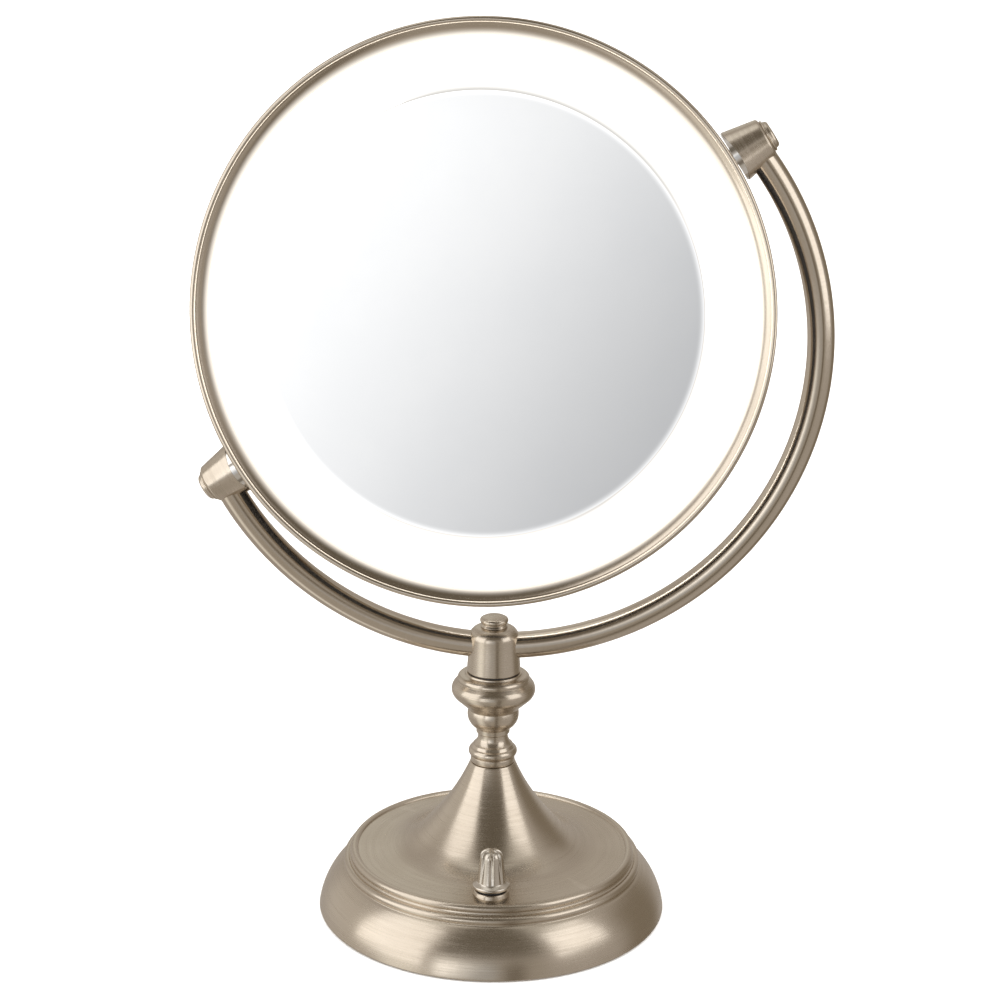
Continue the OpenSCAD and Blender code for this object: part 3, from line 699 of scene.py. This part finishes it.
def magnifier_outline():
    """A concave silvered disc of one thickness, with a flat ground rim."""
    rim, twice_curve_r, steps = MIRROR_R - 1, 1600, 40
    radii = [rim * i / steps for i in range(steps + 1)]
    dip = [(rim**2 - r**2) / twice_curve_r for r in radii]
    back = [(r, glass_z - d) for r, d in zip(radii, dip)]
    face = [(r, MIRROR_FACE - d) for r, d in zip(radii, dip)]
    return back + [(MIRROR_R, glass_z), (MIRROR_R, MIRROR_FACE - 0.6)] + face[::-1]


magnifier = lathe("rear_mirror_fine", magnifier_outline(), BACK_LEVEL, 256, sharp=20)
dress(magnifier, "head", "silvered_glass", ["rear_mirror"])

# ---- The CAD nodes that stay get their record's finish ----

for part in frame["record"]["subparts"]:
    node = frame["nodes"][part["node"]]
    if node.hide_render:
        continue
    node.data.materials.clear()
    node.data.materials.append(materials[part["material_slot"]])
    for polygon in node.data.polygons:
        polygon.material_index = 0

# ---- Floor, light and camera ----


def pale_floor():
    n = Nodes("pale_floor")
    grain = n.noise(n.place()[0], 60.0, 4.0, 0.6)
    base = n.mix(n.spread(grain, 0.3, 0.7, 0.0, 1.0), rgb(0.90, 0.90, 0.90), rgb(0.915, 0.915, 0.915))
    n.set(Base_Color=base, Roughness=n.spread(grain, 0.3, 0.7, 0.55, 0.65))
    n.bsdf.inputs["Specular IOR Level"].default_value = 0.1
    return n.mat


floor_corners = [(-6000, -260, 0), (6000, -260, 0), (6000, 12000, 0), (-6000, 12000, 0)]
floor = new_object("floor", floor_corners, [(0, 1, 2, 3)])
floor.data.materials.append(pale_floor())
floor.visible_glossy = False


def studio_world():
    """A pale studio: soft boxes and darker patches painted on the sky by azimuth and elevation.

    Azimuth 0 is the viewer's side (-Y) and 90 the right (+X), in degrees.
    """
    world = bpy.data.worlds.new("studio")
    bpy.context.scene.world = world
    world.use_nodes = True
    tree = world.node_tree
    new, link = tree.nodes.new, tree.links.new
    background = tree.nodes["Background"]
    direction = new("ShaderNodeTexCoord").outputs["Generated"]
    split = new("ShaderNodeSeparateXYZ")
    link(direction, split.inputs[0])
    degrees = 180 / math.pi

    def calc(operation, a, b=0.0):
        node = new("ShaderNodeMath")
        node.operation = operation
        for value, socket in zip((a, b), node.inputs):
            if isinstance(value, bpy.types.NodeSocket):
                link(value, socket)
            else:
                socket.default_value = value
        return node.outputs[0]

    def step(value, low, high):
        node = new("ShaderNodeMapRange")
        node.interpolation_type = "SMOOTHSTEP"
        link(value, node.inputs[0])
        if low > high:
            low, high = high, low
            node.inputs[3].default_value, node.inputs[4].default_value = 1, 0
        node.inputs[1].default_value, node.inputs[2].default_value = low, high
        return node.outputs[0]

    def blend(mask, a, b):
        node = new("ShaderNodeMix")
        node.data_type = "RGBA"
        link(mask, node.inputs["Factor"])
        for value, socket in ((a, node.inputs[6]), (b, node.inputs[7])):
            if isinstance(value, bpy.types.NodeSocket):
                link(value, socket)
            else:
                socket.default_value = value
        return node.outputs[2]

    toward_viewer = calc("MULTIPLY", split.outputs[1], -1.0)
    azimuth = calc("MULTIPLY", calc("ARCTAN2", split.outputs[0], toward_viewer), degrees)
    elevation = calc("MULTIPLY", calc("ARCSINE", split.outputs[2]), degrees)
    colour = new("ShaderNodeRGB")
    colour.outputs[0].default_value = rgb(0.47, 0.43, 0.39)
    colour = colour.outputs[0]
    # The pale wall that the mirror reflects grows brighter to the left and upward
    leftward = calc("ADD", calc("MULTIPLY", azimuth, -0.86), calc("MULTIPLY", elevation, 0.52))
    wall = blend(step(leftward, 3.0, 19.0), rgb(0.515, 0.518, 0.526), rgb(1.12, 1.12, 1.12))
    wall = blend(step(leftward, 18.0, 26.0), wall, rgb(1.9, 1.9, 1.9))
    patches = [
        # azimuth from, to, elevation from, to, softness, colour
        (-250, -158, 12, 48, 10, rgb(0.64, 0.615, 0.56)),
        (165, 250, 12, 48, 10, rgb(0.53, 0.49, 0.44)),
        (-140, -80, -15, 30, 14, rgb(0.64, 0.60, 0.55)),
        (-165, -60, 60, 120, 10, rgb(0.95, 0.93, 0.88)),
        (35, 150, 52, 120, 10, rgb(0.58, 0.55, 0.50)),
        (97, 142, -60, 32, 12, rgb(0.26, 0.22, 0.17)),
        (-75, -45, -100, 0, 12, rgb(0.98, 0.95, 0.88)),
        (-36, 36, -100, 17, 6, rgb(0.43, 0.39, 0.34)),
        (-36, 4, -12, 15, 5, wall),
        (9, 22, -60, 14, 4, rgb(0.19, 0.16, 0.125)),
        (-38, 38, 24, 120, 7, rgb(0.155, 0.133, 0.104)),
    ]
    for a0, a1, e0, e1, soft, value in patches:
        mask = calc("MULTIPLY", step(azimuth, a0 - soft, a0 + soft), step(azimuth, a1 + soft, a1 - soft))
        mask = calc("MULTIPLY", mask, step(elevation, e0 - soft, e0 + soft))
        mask = calc("MULTIPLY", mask, step(elevation, e1 + soft, e1 - soft))
        colour = blend(mask, colour, value)
    seen = new("ShaderNodeLightPath").outputs["Is Camera Ray"]
    link(blend(seen, colour, rgb(1, 1, 1)), background.inputs["Color"])


studio_world()


def area_light(name, place, target, width, height, radiance):
    """A panel of even radiance that faces target."""
    data = bpy.data.lights.new(name, "AREA")
    data.shape, data.size, data.size_y = "RECTANGLE", width, height
    data.energy = radiance * width * height * math.pi
    light = bpy.data.objects.new(name, data)
    bpy.context.scene.collection.objects.link(light)
    light.location = place
    light.rotation_mode = "QUATERNION"
    light.rotation_quaternion = (Vector(target) - Vector(place)).to_track_quat("-Z", "Y")
    light.visible_camera = False


def around(azimuth, distance, height):
    """A place at an azimuth from the viewer's side, to the right."""
    a = math.radians(azimuth)
    return (distance * math.sin(a), -distance * math.cos(a), height)


area_light("left_panel", around(-68, 0.75, 0.62), (0, 0, 0.62), width=0.72, height=1.25, radiance=1.0)
area_light("right_panel", around(62, 0.60, 0.47), (0, 0, 0.47), width=0.42, height=0.62, radiance=1.05)

# An even light from above that whitens the floor and leaves only a soft shadow
overhead = bpy.data.lights.new("overhead", "SUN")
overhead.energy, overhead.angle = 4.4, math.radians(150)
overhead = bpy.data.objects.new("overhead", overhead)
overhead.visible_glossy = False
bpy.context.scene.collection.objects.link(overhead)

camera_data = bpy.data.cameras.new("camera")
camera = bpy.data.objects.new("camera", camera_data)
bpy.context.scene.collection.objects.link(camera)
bpy.context.scene.camera = camera
CAMERA_DISTANCE, CAMERA_ELEVATION, CAMERA_ROLL = 0.89894, math.radians(15.851), math.radians(0.643)
back = Vector((0, -math.cos(CAMERA_ELEVATION), math.sin(CAMERA_ELEVATION)))
right = Vector((1, 0, 0))
up = back.cross(right)
cam_x = math.cos(CAMERA_ROLL) * right + math.sin(CAMERA_ROLL) * up
cam_y = -math.sin(CAMERA_ROLL) * right + math.cos(CAMERA_ROLL) * up
aim = Vector((0, 0, 0.180))
camera.matrix_world = axes_matrix(cam_x, cam_y, back, (aim + back * CAMERA_DISTANCE) / MM)
camera_data.sensor_width = 36
camera_data.lens = 86.01
camera_data.shift_x, camera_data.shift_y = 0.0040, -0.0355
camera_data.clip_start, camera_data.clip_end = 0.01, 50

scene = bpy.context.scene
scene.view_settings.view_transform = "Standard"
scene.view_settings.look = "None"
